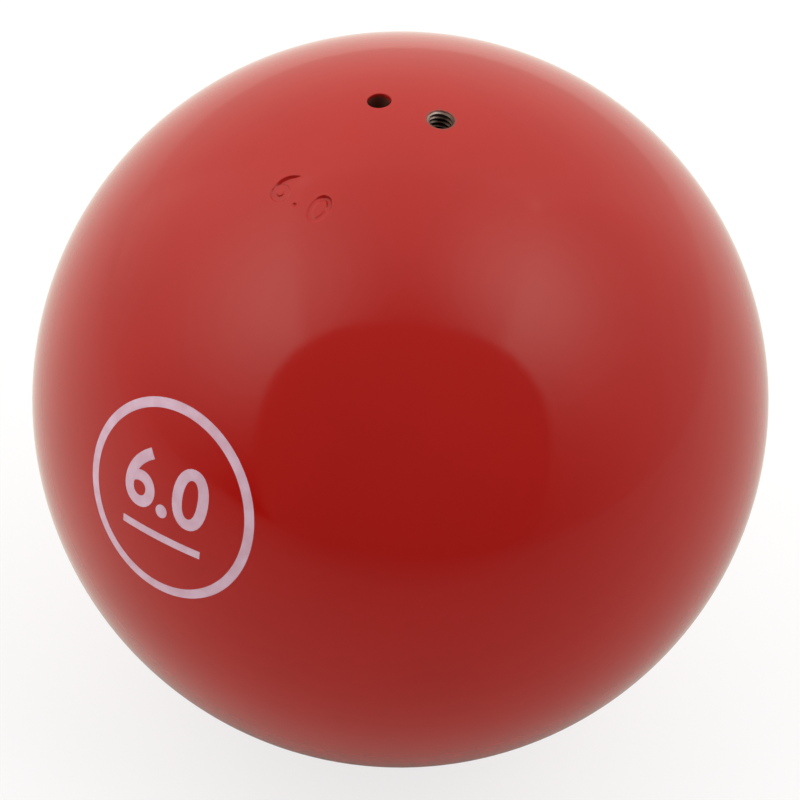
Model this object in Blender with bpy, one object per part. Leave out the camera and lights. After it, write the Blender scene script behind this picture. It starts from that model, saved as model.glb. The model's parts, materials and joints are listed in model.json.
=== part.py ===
"""Shot put for 6 kg: a cored iron ball, lead in its heart, closed by a screwed plug.

Metres, +Z up. The origin is the ball's centre and +Z runs up the plug's axis.
The plug is turned flush with the ball. A pin driven down their seam stops it turning.
Its tapped hole takes a hanging hook, and deeper down a set screw that carries a trim slug.
"""

import math

import bpy

# Ball and the hollow that the sand core leaves in it
BALL_DIAMETER = 0.115
SHELL_WALL = 0.03125
NECK_LENGTH = 0.0084

# Closing plug, an M20 screw whose head was turned away with the ball
PLUG_DIAMETER = 0.020
SHOULDER_WIDTH = 0.002
PLUG_LEAD_IN = 0.0012
UNDERCUT_WIDTH = 0.0022
UNDERCUT_DEPTH = 0.0009
WASHER_THICKNESS = 0.0015
WAD_THICKNESS = 0.006
WAD_BEVEL = 0.0005
SHRINKAGE_DISH = 0.0008

# Tapped hole up the plug's axis, No. 8-32: major diameter, drilled diameter, depth
HANGING_THREAD_DIAMETER = 0.00417
TAP_DRILL_DIAMETER = 0.00345
HANGING_THREAD_DEPTH = 0.0125
MOUTH_BREAK = 0.0003

# Socket set screw with a button point, and the slug that swivels on the button
TRIM_SCREW_LENGTH = 0.00635
SCREW_END_BEVEL = 0.0004
SOCKET_ACROSS_FLATS = 0.00198
SOCKET_DEPTH = 0.0026
BUTTON_DIAMETER = 0.0019
BUTTON_THICKNESS = 0.0006
BUTTON_STEM_DIAMETER = 0.0011
SLUG_LIP_BORE = 0.0015
SLUG_LIP_THICKNESS = 0.0004
SLUG_END_BEVEL = 0.0003

# Pin across the seam of plug and ball; its azimuth is counted from +X towards +Y
PIN_HOLE_DIAMETER = 0.0035
PIN_HOLE_DEPTH = 0.015
PIN_LENGTH = 0.008
PIN_END_BEVEL = 0.0004
PIN_AZIMUTH = math.radians(160.7)

# Clearances that the solids keep
SEAT_GAP = 0.0003
THREAD_GAP = 0.0003
PIN_GAP = 0.00025
SLUG_GAP = 0.00025
SWIVEL_GAP = 0.0001

# How finely the round pieces are cut, in steps to the full turn
BALL_STEPS = 64
CORE_STEPS = 40
PLUG_STEPS = 48
SMALL_STEPS = 24
SOCKET_SIDES = 6
MERGE_DISTANCE = 0.00001
CUTTER_OVERRUN = 0.004
SMOOTH_BELOW = math.radians(35)

BALL_RADIUS = BALL_DIAMETER / 2
CAVITY_RADIUS = BALL_RADIUS - SHELL_WALL
PLUG_BORE_RADIUS = PLUG_DIAMETER / 2
NECK_RADIUS = PLUG_BORE_RADIUS - SHOULDER_WIDTH
PLUG_RADIUS = PLUG_BORE_RADIUS - THREAD_GAP
THREAD_RADIUS = HANGING_THREAD_DIAMETER / 2
TAP_DRILL_RADIUS = TAP_DRILL_DIAMETER / 2
SCREW_RADIUS = THREAD_RADIUS - THREAD_GAP
SLUG_RADIUS = TAP_DRILL_RADIUS - SLUG_GAP
BUTTON_RADIUS = BUTTON_DIAMETER / 2

# Heights up the axis, each seat one clearance from the last
NECK_FLOOR = math.sqrt(CAVITY_RADIUS**2 - NECK_RADIUS**2)
SHOULDER = NECK_FLOOR + NECK_LENGTH
WASHER_BASE = SHOULDER + SEAT_GAP
PLUG_BASE = WASHER_BASE + WASHER_THICKNESS + SEAT_GAP
WAD_TOP = PLUG_BASE - SEAT_GAP
WAD_BASE = WAD_TOP - WAD_THICKNESS
LEAD_TOP = WAD_BASE - SEAT_GAP
THREAD_END = BALL_RADIUS - HANGING_THREAD_DEPTH
SCREW_BASE = THREAD_END + SEAT_GAP
SLUG_TOP = SCREW_BASE - SWIVEL_GAP
PIN_HOLE_FLOOR = BALL_RADIUS - PIN_HOLE_DEPTH
PIN_BASE = PIN_HOLE_FLOOR + SEAT_GAP


def sphere_height(sphere_radius, radius):
    """Height of a sphere's upper half at a distance from its axis."""
    return math.sqrt(sphere_radius**2 - radius**2)


def sphere_arc(sphere_radius, start, end, count):
    """Points (radius, height) along a meridian, between two angles down from +Z."""
    angles = [start + (end - start) * i / count for i in range(count + 1)]
    return [(sphere_radius * math.sin(a), sphere_radius * math.cos(a)) for a in angles]


def finish(name, colour, metallic, roughness):
    """One plain material for one piece."""
    material = bpy.data.materials.new(name)
    material.use_nodes = True
    shader = material.node_tree.nodes["Principled BSDF"]
    shader.inputs["Base Color"].default_value = (*colour, 1.0)
    shader.inputs["Metallic"].default_value = metallic
    shader.inputs["Roughness"].default_value = roughness
    return material


def turned(name, outline, steps, material=None, base=0.0, ring=False):
    """Turn an outline of (radius, height) round the Z axis.

    The outline runs down the outer side. A ring's outline joins up with its own start;
    a solid's starts and ends on the axis. The object's origin is at the height base.
    """
    mesh = bpy.data.meshes.new(name)
    points = [(radius, 0.0, height - base) for radius, height in outline]
    edges = [(i, i + 1) for i in range(len(points) - 1)]
    if ring:
        edges.append((len(points) - 1, 0))
    mesh.from_pydata(points, edges, [])
    piece = bpy.data.objects.new(name, mesh)
    piece.location = (0.0, 0.0, base)
    bpy.context.collection.objects.link(piece)
    screw = piece.modifiers.new("Turn", "SCREW")
    screw.axis = "Z"
    screw.angle = math.tau
    screw.steps = steps
    screw.render_steps = steps
    screw.use_merge_vertices = True
    screw.merge_threshold = MERGE_DISTANCE
    screw.use_smooth_shade = True
    if material:
        mesh.materials.append(material)
    return piece


def cut_by(piece, cutter):
    """Take a cutter's shape out of a piece."""
    boolean = piece.modifiers.new("Cut " + cutter.name, "BOOLEAN")
    boolean.operation = "DIFFERENCE"
    boolean.solver = "EXACT"
    boolean.object = cutter
    cutter.hide_render = True
    cutter.display_type = "WIRE"


def bevelled_rod(radius, bottom, top, bevel):
    """Outline of a plain rod with both ends bevelled."""
    return [
        (0.0, top),
        (radius - bevel, top),
        (radius, top - bevel),
        (radius, bottom + bevel),
        (radius - bevel, bottom),
        (0.0, bottom),
    ]


def shell_casting():
    """Iron ball, hollow at the centre, its neck bored and shouldered for the plug."""
    cavity_mouth = math.asin(NECK_RADIUS / CAVITY_RADIUS)
    ball_mouth = math.asin((PLUG_BORE_RADIUS + MOUTH_BREAK) / BALL_RADIUS)
    hollow = sphere_arc(CAVITY_RADIUS, math.pi, cavity_mouth, CORE_STEPS // 2)
    bore = [
        (NECK_RADIUS, SHOULDER),
        (PLUG_BORE_RADIUS, SHOULDER),
        (PLUG_BORE_RADIUS, sphere_height(BALL_RADIUS, PLUG_BORE_RADIUS) - MOUTH_BREAK),
    ]
    above = sphere_arc(BALL_RADIUS, ball_mouth, math.pi / 2, BALL_STEPS // 4)
    below = sphere_arc(BALL_RADIUS, math.pi / 2, math.pi, BALL_STEPS // 4)
    outline = hollow + bore + above + below[1:]
    iron = finish("turned_iron", (0.30, 0.008, 0.006), 0.0, 0.22)
    return turned("shell_casting", outline, BALL_STEPS, iron)


def lead_core():
    """Lead poured in through the neck; it stands a little way up the neck and dishes as it cools."""
    radius = CAVITY_RADIUS - SEAT_GAP
    neck = NECK_RADIUS - SEAT_GAP
    top = [(0.0, LEAD_TOP - SHRINKAGE_DISH), (neck / 2, LEAD_TOP - SHRINKAGE_DISH * 0.75), (neck, LEAD_TOP)]
    ball = sphere_arc(radius, math.asin(neck / radius), math.pi, CORE_STEPS // 2)
    lead = finish("cast_lead", (0.19, 0.20, 0.22), 1.0, 0.55)
    return turned("lead_core", top + ball, CORE_STEPS, lead)


def packing_wad():
    """Cork disc squeezed between the lead and the plug, so that nothing can shift."""
    cork = finish("cork", (0.42, 0.24, 0.12), 0.0, 0.85)
    outline = bevelled_rod(NECK_RADIUS - SEAT_GAP, WAD_BASE, WAD_TOP, WAD_BEVEL)
    return turned("packing_wad", outline, PLUG_STEPS, cork, WAD_BASE)


def sealing_washer():
    """Soft copper ring between the shoulder and the plug, its edges rounded as stamped."""
    outer = PLUG_RADIUS
    inner = NECK_RADIUS + SEAT_GAP
    top = WASHER_BASE + WASHER_THICKNESS
    edge = WASHER_THICKNESS / 4
    outline = [
        (outer - edge, top),
        (outer, top - edge),
        (outer, WASHER_BASE + edge),
        (outer - edge, WASHER_BASE),
        (inner + edge, WASHER_BASE),
        (inner, WASHER_BASE + edge),
        (inner, top - edge),
        (inner + edge, top),
    ]
    copper = finish("copper", (0.62, 0.27, 0.17), 1.0, 0.35)
    return turned("sealing_washer", outline, PLUG_STEPS, copper, WASHER_BASE, ring=True)


def closing_plug():
    """Steel plug, crowned to the ball's radius, with the tapped hole through its middle."""
    crown_start = math.asin((THREAD_RADIUS + MOUTH_BREAK) / BALL_RADIUS)
    crown_end = math.asin((PLUG_RADIUS - MOUTH_BREAK) / BALL_RADIUS)
    crown = sphere_arc(BALL_RADIUS, crown_start, crown_end, PLUG_STEPS // 8)
    rim_height = sphere_height(BALL_RADIUS, PLUG_RADIUS) - MOUTH_BREAK
    undercut_top = PLUG_BASE + PLUG_LEAD_IN + UNDERCUT_WIDTH
    outside = [
        (PLUG_RADIUS, rim_height),
        (PLUG_RADIUS, undercut_top + UNDERCUT_DEPTH),
        (PLUG_RADIUS - UNDERCUT_DEPTH, undercut_top),
        (PLUG_RADIUS - UNDERCUT_DEPTH, PLUG_BASE + UNDERCUT_DEPTH),
        (PLUG_RADIUS - 2 * UNDERCUT_DEPTH, PLUG_BASE),
    ]
    mouth_height = sphere_height(BALL_RADIUS, THREAD_RADIUS) - MOUTH_BREAK
    inside = [
        (TAP_DRILL_RADIUS, PLUG_BASE),
        (TAP_DRILL_RADIUS, THREAD_END),
        (THREAD_RADIUS, THREAD_END),
        (THREAD_RADIUS, mouth_height),
    ]
    steel = finish("plug_steel", (0.30, 0.008, 0.006), 0.0, 0.22)
    return turned("closing_plug", crown + outside + inside, PLUG_STEPS, steel, PLUG_BASE, ring=True)


def trim_screw():
    """Set screw: hexagon socket above, and below it a stem with the button that holds the slug."""
    top = SCREW_BASE + TRIM_SCREW_LENGTH
    stem_end = SLUG_TOP - SLUG_LIP_THICKNESS - SWIVEL_GAP
    outline = [
        (0.0, top),
        (SCREW_RADIUS - SCREW_END_BEVEL, top),
        (SCREW_RADIUS, top - SCREW_END_BEVEL),
        (SCREW_RADIUS, SCREW_BASE + SCREW_END_BEVEL),
        (SCREW_RADIUS - SCREW_END_BEVEL / 2, SCREW_BASE),
        (BUTTON_STEM_DIAMETER / 2, SCREW_BASE),
        (BUTTON_STEM_DIAMETER / 2, stem_end),
        (BUTTON_RADIUS, stem_end),
        (BUTTON_RADIUS, stem_end - BUTTON_THICKNESS),
        (0.0, stem_end - BUTTON_THICKNESS),
    ]
    steel = finish("blackened_steel", (0.045, 0.045, 0.05), 1.0, 0.4)
    screw = turned("trim_screw", outline, SMALL_STEPS, steel, SCREW_BASE)
    cut_by(screw, hexagon_cutter(top))
    return screw


def hexagon_cutter(top):
    """Six-sided bar that leaves the screw's socket, with the cone that the drill leaves."""
    corner = SOCKET_ACROSS_FLATS / 2 / math.cos(math.pi / SOCKET_SIDES)
    floor = top - SOCKET_DEPTH
    outline = [
        (0.0, top + CUTTER_OVERRUN),
        (corner, top + CUTTER_OVERRUN),
        (corner, floor),
        (0.0, floor - corner / 2),
    ]
    cutter = turned("socket_cutter", outline, SOCKET_SIDES)
    return cutter


def trim_slug():
    """Lead slug, closed in round the button so that it comes up with the screw but need not turn."""
    lip_base = SLUG_TOP - SLUG_LIP_THICKNESS
    room_base = lip_base - BUTTON_THICKNESS - 2 * SWIVEL_GAP
    room_radius = BUTTON_RADIUS + SWIVEL_GAP
    outline = [
        (0.0, room_base),
        (room_radius, room_base),
        (room_radius, lip_base),
        (SLUG_LIP_BORE / 2, lip_base),
        (SLUG_LIP_BORE / 2, SLUG_TOP),
        (SLUG_RADIUS, SLUG_TOP),
        (SLUG_RADIUS, PLUG_BASE + SLUG_END_BEVEL),
        (SLUG_RADIUS - SLUG_END_BEVEL, PLUG_BASE),
        (0.0, PLUG_BASE),
    ]
    lead = finish("slug_lead", (0.22, 0.23, 0.25), 1.0, 0.5)
    return turned("trim_slug", outline, SMALL_STEPS, lead, SLUG_TOP)


def at_seam(piece):
    """Stand a piece on the seam of plug and ball, at the pin's azimuth."""
    piece.location.x = PLUG_BORE_RADIUS * math.cos(PIN_AZIMUTH)
    piece.location.y = PLUG_BORE_RADIUS * math.sin(PIN_AZIMUTH)


def lock_pin():
    """Steel pin driven well below the surface, half in the plug and half in the ball."""
    radius = PIN_HOLE_DIAMETER / 2 - PIN_GAP
    outline = bevelled_rod(radius, PIN_BASE, PIN_BASE + PIN_LENGTH, PIN_END_BEVEL)
    steel = finish("pin_steel", (0.35, 0.34, 0.33), 1.0, 0.35)
    pin = turned("lock_pin", outline, SMALL_STEPS, steel, PIN_BASE)
    at_seam(pin)
    return pin


def pin_hole_cutter():
    """Drill for the pin, with the cone that its point leaves."""
    radius = PIN_HOLE_DIAMETER / 2
    outline = [
        (0.0, BALL_RADIUS + CUTTER_OVERRUN),
        (radius, BALL_RADIUS + CUTTER_OVERRUN),
        (radius, PIN_HOLE_FLOOR),
        (0.0, PIN_HOLE_FLOOR - radius / math.sqrt(3)),
    ]
    cutter = turned("pin_hole_cutter", outline, SMALL_STEPS)
    at_seam(cutter)
    return cutter


def main():
    """Clear the scene and make every piece where it lies in the finished ball."""
    for old in list(bpy.data.objects):
        bpy.data.objects.remove(old, do_unlink=True)
    shell = shell_casting()
    lead_core()
    packing_wad()
    sealing_washer()
    plug = closing_plug()
    drill = pin_hole_cutter()
    cut_by(shell, drill)
    cut_by(plug, drill)
    lock_pin()
    trim_screw()
    trim_slug()


main()
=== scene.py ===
"""Looks of a painted iron shot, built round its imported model.

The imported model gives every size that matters: the ball, the plug, the pin, the set screw and the
thread's pitch are read from it. This script adds the paint film with its struck numerals and its
two holes, the cut threads, the printed mark, the finishes and the studio.
"""

import json
import math
from functools import partial

import bmesh
import bpy
import numpy as np
from bpy.props import FloatProperty, FloatVectorProperty, IntProperty, PointerProperty
from mathutils import Matrix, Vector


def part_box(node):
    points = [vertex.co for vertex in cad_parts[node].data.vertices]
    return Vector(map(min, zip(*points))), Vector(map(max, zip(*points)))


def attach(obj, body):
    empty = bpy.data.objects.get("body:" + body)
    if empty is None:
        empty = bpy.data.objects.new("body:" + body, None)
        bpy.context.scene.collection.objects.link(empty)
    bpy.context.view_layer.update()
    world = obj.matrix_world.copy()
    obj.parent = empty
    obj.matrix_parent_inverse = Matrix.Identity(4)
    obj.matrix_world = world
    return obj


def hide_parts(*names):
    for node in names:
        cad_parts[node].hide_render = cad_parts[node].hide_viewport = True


bl_info = {
    "name": "Shot put looks",
    "version": (1, 0, 0),
    "blender": (4, 5, 0),
    "location": "View3D > Sidebar > Shot put",
    "description": "Paint, threads, marks and studio for a 6 kg shot put",
    "category": "Object",
}

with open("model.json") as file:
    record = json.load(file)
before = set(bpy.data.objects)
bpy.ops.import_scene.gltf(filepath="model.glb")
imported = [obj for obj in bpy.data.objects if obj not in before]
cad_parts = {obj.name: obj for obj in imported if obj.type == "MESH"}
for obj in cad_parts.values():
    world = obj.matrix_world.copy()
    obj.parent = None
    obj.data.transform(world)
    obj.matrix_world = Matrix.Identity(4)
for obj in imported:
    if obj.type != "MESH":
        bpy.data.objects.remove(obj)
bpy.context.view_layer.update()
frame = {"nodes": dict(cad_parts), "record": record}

MM = 0.001
TURN = 2 * math.pi

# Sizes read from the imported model
CASTING_LOW, CASTING_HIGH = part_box("shell_casting")
PIN_LOW, PIN_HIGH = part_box("lock_pin")
SCREW_LOW, SCREW_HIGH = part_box("trim_screw")
PLUG_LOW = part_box("closing_plug")[0]
WASHER_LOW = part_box("sealing_washer")[0]
LEAD_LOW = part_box("lead_core")[0]
BALL_RADIUS = CASTING_HIGH.x
PIN_X = (PIN_LOW.x + PIN_HIGH.x) / 2
PIN_Y = (PIN_LOW.y + PIN_HIGH.y) / 2
SEAM_RADIUS = math.hypot(PIN_X, PIN_Y)
PIN_AZIMUTH = math.atan2(PIN_Y, PIN_X)
# The hole was drilled a little nearer to the axis than the seam, round the pin and its glue
HOLE_REACH = SEAM_RADIUS - 0.24 * MM
HOLE_X = HOLE_REACH * math.cos(PIN_AZIMUTH)
HOLE_Y = HOLE_REACH * math.sin(PIN_AZIMUTH)
THREAD_PITCH = TURN / frame["record"]["behaviour"]["couplings"][0]["ratio"]

# Room between the paint and the metal, so that the two skins don't lie in one place
PAINT_GAP = 0.02 * MM
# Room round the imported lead, washer and pin
SEAT_GAP = 0.3 * MM
# Radius of the little flat that closes a turned end at its axis
TIP = 0.02 * MM


def linear(code):
    """The linear colour of an sRGB hex code."""
    parts = [int(code[i : i + 2], 16) / 255 for i in (1, 3, 5)]
    return [p / 12.92 if p <= 0.04045 else ((p + 0.055) / 1.055) ** 2.4 for p in parts]


def length(name, about, default):
    """A property that holds a length in metres."""
    return FloatProperty(
        name=name, description=about, default=default, min=0.0, unit="LENGTH", precision=6
    )


def share(name, about, default, most=1.0):
    """A property that holds a plain factor."""
    return FloatProperty(name=name, description=about, default=default, min=0.0, max=most)


def colour(name, about, code):
    """A property that holds a colour, given by its sRGB hex code."""
    return FloatVectorProperty(
        name=name, description=about, default=linear(code), subtype="COLOR", min=0.0, max=1.0
    )


class FilmSizes(bpy.types.PropertyGroup):
    """Sizes of the paint film and of its mesh."""

    thickness: length("Film thickness", "Thickness of the dry paint", 0.09 * MM)
    pin_hole: length("Pin hole", "Radius of the painted hole over the lock pin", 1.74 * MM)
    pin_lip: length("Pin hole lip", "Radius of the paint's roll into that hole", 0.14 * MM)
    pin_drill: length("Pin drill", "Radius of the hole in the metal under that paint", 1.85 * MM)
    pin_floor: length("Paint over the pin", "Paint and filler above the pin's end", 0.13 * MM)
    fillet: length("Floor fillet", "Roundness where that floor meets the wall", 0.25 * MM)
    mouth: length("Tapped mouth", "Radius where the paint ends at the tapped hole", 1.97 * MM)
    mouth_lip: length("Mouth lip", "Radius of the paint's edge at the tapped hole", 0.13 * MM)
    coarse_cell: length("Coarse cell", "Edge length on the plain ball", 2.4 * MM)
    stroke_cell: length("Stroke cell", "Edge length in the struck numerals", 0.09 * MM)
    lip_cell: length("Lip cell", "Edge length at the holes", 0.05 * MM)
    growth: share("Cell growth", "How fast cells grow away from detail", 0.28)


class MarkSizes(bpy.types.PropertyGroup):
    """Sizes of the struck numerals and of the printed mark."""

    groove: length("Groove width", "Width of a struck stroke at the surface", 1.0 * MM)
    deepest: length("Deepest stroke", "Depth where the punch bit in furthest", 0.4 * MM)
    burr: length("Burr", "Height of the metal pushed up beside a stroke", 0.02 * MM)
    burr_width: length("Burr width", "Width of that metal", 0.15 * MM)
    ring_outer: length("Printed ring", "Outer radius of the ring along the ball", 15.2 * MM)
    ring_inner: length("Ring inside", "Inner radius of the ring along the ball", 13.7 * MM)
    figure: length("Printed figure", "Height of the printed numerals", 9.6 * MM)
    bar_length: length("Bar length", "Length of the printed bar", 14.5 * MM)
    bar_height: length("Bar height", "Height of the printed bar", 1.2 * MM)
    figure_drop: length("Figure drop", "From the ring's middle down to the numerals' foot", 2.6 * MM)
    bar_drop: length("Bar drop", "From the ring's middle down to the bar's lower side", 6.4 * MM)
    ink: length("Ink thickness", "How far the ink stands proud of the paint", 0.015 * MM)


class ThreadSizes(bpy.types.PropertyGroup):
    """Sizes of the cut threads and of the screw in the tapped hole."""

    tapped_major: length("Tapped major radius", "Radius at the root of the tapped hole", 2.085 * MM)
    tapped_minor: length("Tapped minor radius", "Radius at the crest of the tapped hole", 1.725 * MM)
    tap_drill: length("Tap drill", "Radius of the drilled hole below the thread", 1.725 * MM)
    thread_end: length("Thread end", "Height where the tapped thread ends", 45.0 * MM)
    chamfer: length("Mouth chamfer", "Depth of the chamfer at the tapped mouth", 0.17 * MM)
    screw_play: length("Screw play", "Play between the screw and its thread", 0.05 * MM)
    socket_flats: length("Socket", "Width across flats of the hexagon socket", 1.98 * MM)
    socket_depth: length("Socket depth", "Depth of the hexagon socket", 2.6 * MM)
    screw_length: length("Screw length", "Length of the set screw's threaded body", 6.35 * MM)
    stem: length("Stem", "Radius of the screw's stem", 0.55 * MM)
    button: length("Button", "Radius of the button under the stem", 0.95 * MM)
    button_height: length("Button height", "Thickness of the button", 0.6 * MM)
    plug_pitch: length("Plug pitch", "Pitch of the plug's own thread", 1.5 * MM)
    plug_depth: length("Plug thread", "Depth of the plug's own thread", 0.85 * MM)
    plug_play: length("Plug play", "Play of the plug and of the casting at their thread", 0.05 * MM)
    relief: length("Plug relief", "Length turned down below the plug's thread", 3.4 * MM)
    relief_depth: length("Relief depth", "How far below the seam that is turned down", 1.2 * MM)
    relief_bevel: length("Relief bevel", "Bevel at the plug's lower end", 0.9 * MM)
    tap_room: length("Tapping room", "Plain bore from the plug's end to the casting's thread", 2.4 * MM)
    shoulder: length("Shoulder", "Width of the casting's seat under the washer", 2.0 * MM)
    rows: IntProperty(name="Rows", description="Mesh rows to one thread turn", default=16, min=8)
    seam_rows: share("Seam rows", "Mesh rows to one turn of the plug's own thread", 9.6, 40.0)
    columns: IntProperty(name="Columns", description="Mesh columns round a thread", default=96)


class Finish(bpy.types.PropertyGroup):
    """Colours and gloss of the finishes."""

    enamel: colour("Enamel", "Body colour of the stoved enamel", "#AE1D18")
    enamel_deep: colour("Deep enamel", "Colour where the enamel lies thicker", "#A31A16")
    # Browner colour of the ring round the tapped mouth
    enamel_mouth_ring: colour("Thin enamel", "Colour where metal grins through thin paint", "#7A4034")
    # Painted shade with dirt: the darker brown that the paint in the pin hole turns to with depth
    hole_shade_and_dirt: colour("Grime", "Dirt and dried oil on the paint down in the pin hole", "#6A4238")
    gloss: share("Enamel roughness", "Roughness of the enamel", 0.085)
    peel: share("Orange peel", "Strength of the sprayed paint's texture", 0.035)
    ink: colour("Ink", "Printed mark, where the ink is full", "#D6B3C3")
    ink_thin: colour("Thin ink", "Printed mark, where the red shows through", "#CDA3B2")
    steel: colour("Cut steel", "Freshly machined free-cutting steel", "#BBA4A0")
    # Painted shade with an oil stain: the brown that the tapped steel turns further down and towards +X
    steel_shade_and_stain: colour("Oil stain", "Dried cutting oil down in the thread", "#5E4A42")
    iron: colour("Iron", "Sand-cast grey iron", "#5A5855")
    lead: colour("Lead", "Cast lead under its grey oxide", "#75777B")
    lead_bloom: colour("Lead oxide", "Pale bloom on old lead", "#94959A")
    cork: colour("Cork", "Pressed cork", "#B0834F")
    cork_dark: colour("Dark cork", "Bark grains in the cork", "#5C3A20")
    copper: colour("Copper", "Annealed copper", "#C77F62")
    black: colour("Black oxide", "Chemically blackened alloy steel", "#3A3A3E")


class Studio(bpy.types.PropertyGroup):
    """The light tent, its floor and the camera."""

    elevation: FloatProperty(
        name="Camera elevation",
        description="Height of the camera above the horizon",
        default=math.radians(45.09),
        subtype="ANGLE",
    )
    roll: FloatProperty(
        name="Camera roll",
        description="Turn of the camera about its line of sight",
        default=math.radians(8.25),
        subtype="ANGLE",
    )
    distance: length("Camera distance", "From the ball's centre to the camera", 0.46)
    lens: FloatProperty(name="Lens", description="Focal length", default=131.54, unit="CAMERA")
    shift_x: FloatProperty(name="Shift X", description="Framing, to the side", default=-0.0005)
    shift_y: FloatProperty(name="Shift Y", description="Framing, upwards", default=-0.00075)
    fabric: colour("Fabric", "Tint of the tent's fabric, as the object mirrors it", "#FFFFF2")
    level: share("Light level", "Light on the object, against what it mirrors", 1.93, 5.0)
    glow: share("Lamp glow", "Brightness that a lamp adds to the tent's side", 1.0, 3.0)
    opening: share("Opening", "Brightness of the room in the tent's front opening", 0.06)
    floor_size: length("Floor", "Width of the floor sheet", 3.0)
    floor_glow: share("Floor glow", "Light that comes up through the floor sheet", 0.07)
    shadow: share("Shadow share", "Share of the floor's light that the object's shadow takes", 0.25)


def settings(context, *groups):
    """The values of these property groups of the scene."""
    return [getattr(context.scene, "shot_put_" + group) for group in groups]


# Mesh helpers


def unit(vectors):
    """The vectors, each made one long."""
    return vectors / np.linalg.norm(vectors, axis=-1, keepdims=True)


def smoothstep(low, high, values):
    """0 below low, 1 above high, and a smooth rise between."""
    t = np.clip((values - low) / (high - low), 0, 1)
    return t * t * (3 - 2 * t)


def refine(points, triangles, wanted, on_surface):
    """Splits every edge that is longer than the size wanted at its middle, until none is."""
    while True:
        ends = np.sort(triangles[:, [[0, 1], [1, 2], [2, 0]]].reshape(-1, 2), axis=1)
        edges, number = np.unique(ends, axis=0, return_inverse=True)
        start, stop = points[edges[:, 0]], points[edges[:, 1]]
        long = np.linalg.norm(start - stop, axis=1) > wanted((start + stop) / 2)
        if not long.any():
            return points, triangles
        middle = np.full(len(edges), -1)
        middle[long] = len(points) + np.arange(long.sum())
        points = np.vstack([points, on_surface((start + stop)[long] / 2)])
        cuts = middle[number.reshape(-1, 3)]
        split = (cuts >= 0).sum(axis=1)
        turn = np.zeros(len(triangles), int)
        turn[split == 1] = np.argmax(cuts[split == 1] >= 0, axis=1)
        turn[split == 2] = (np.argmax(cuts[split == 2] < 0, axis=1) + 1) % 3
        order = (turn[:, None] + np.arange(3)) % 3
        corner = np.take_along_axis(triangles, order, axis=1)
        cuts = np.take_along_axis(cuts, order, axis=1)
        made = [corner[split == 0]]
        (a, b, c), (ab, _, _) = corner[split == 1].T, cuts[split == 1].T
        made += [np.column_stack(f) for f in ((a, ab, c), (ab, b, c))]
        (a, b, c), (ab, bc, _) = corner[split == 2].T, cuts[split == 2].T
        short = np.linalg.norm(points[a] - points[bc], axis=1) < np.linalg.norm(
            points[ab] - points[c], axis=1
        )
        made += [
            np.column_stack((ab, b, bc)),
            np.column_stack((a, ab, np.where(short, bc, c))),
            np.column_stack((np.where(short, a, ab), bc, c)),
        ]
        (a, b, c), (ab, bc, ca) = corner[split == 3].T, cuts[split == 3].T
        made += [np.column_stack(f) for f in ((a, ab, ca), (ab, b, bc), (ca, bc, c), (ab, bc, ca))]
        triangles = np.vstack(made)


def open_edges(triangles):
    """The directed edges that only one triangle has."""
    directed = triangles[:, [[0, 1], [1, 2], [2, 0]]].reshape(-1, 2)
    key = directed.min(axis=1) * (triangles.max() + 1) + directed.max(axis=1)
    _, first, count = np.unique(key, return_index=True, return_counts=True)
    return directed[first[count == 1]]


def grid_faces(rows, columns, wrap_rows=False):
    """Quads of a grid whose columns close into a ring, and whose rows may too."""
    i = np.arange(rows if wrap_rows else rows - 1)[:, None]
    j = np.arange(columns)[None, :]
    right = (j + 1) % columns
    below = (i + 1) % rows
    quads = [i * columns + j, i * columns + right, below * columns + right, below * columns + j]
    return np.stack([q.ravel() for q in np.broadcast_arrays(*quads)], axis=1).tolist()


def turned(radii, heights, angles):
    """Points of a turned surface. Each row is one station of its outline, and may vary round it."""
    radii, heights = np.broadcast_arrays(radii, heights)
    ring = np.stack([np.cos(angles), np.sin(angles)], axis=-1)
    return np.concatenate([radii[..., None] * ring, heights[..., None]], axis=-1)


def turned_skin(stations, angles, caps=()):
    """Points and faces of a turned skin. A station is a radius and a height, each a number or a
    value per angle. A cap closes the skin at the station of that number."""
    full = [[np.broadcast_to(v, angles.shape) for v in station] for station in stations]
    radii, heights = np.array(full).swapaxes(0, 1)
    columns = len(angles)
    faces = grid_faces(len(stations), columns)
    faces += [list(range(row * columns, (row + 1) * columns)) for row in caps]
    return turned(radii, heights, angles).reshape(-1, 3), faces


def threaded_wall(angles, pitch, low, high, rows, shape):
    """Points and faces of a wall whose mesh lines follow its thread, cut level at both ends. The
    shape gives the radius at an angle and height."""
    columns, step = len(angles), pitch / rows
    first, last = math.floor(low / step) - rows, math.ceil(high / step)
    levels = step * np.arange(first, last + rows + 1)[:, None]
    heights = np.clip(levels + pitch * angles / TURN, low, high)
    points = turned(shape(angles, heights), heights, angles).reshape(-1, 3)
    start = np.arange(last - first)[:, None] * columns
    here = start + np.arange(columns)
    right = np.concatenate([here[:, 1:], start + rows * columns], axis=1)
    quads = [here, right, right + columns, here + columns]
    return points, np.stack([q.ravel() for q in quads], axis=1)


def closed_skin(outer, inner, triangles):
    """Points and faces of a thin closed skin: an outer sheet, an inner one turned about, and a
    strip along every open edge."""
    count = len(outer)
    start, stop = open_edges(triangles).T
    strips = [(stop, start, start + count), (stop, start + count, stop + count)]
    strips = [np.column_stack(strip) for strip in strips]
    return np.vstack([outer, inner]), np.vstack([triangles, triangles[:, ::-1] + count, *strips])


def joined(*parts):
    """Points and faces of several pieces of one skin, put together."""
    points, faces, count = [], [], 0
    for some_points, some_faces in parts:
        points.append(some_points)
        faces += [[count + v for v in face] for face in some_faces]
        count += len(some_points)
    return np.vstack(points), faces


def helix(angle, height, pitch, crest, root):
    """Radius of a right-hand thread, which is flat for a quarter of the pitch at its crest and for
    an eighth at its root."""
    phase = (height / pitch - angle / TURN) % 1.0
    away = np.abs(phase - 0.5) * 2
    return crest + (root - crest) * np.clip((away - 0.25) / 0.625, 0, 1)


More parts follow.
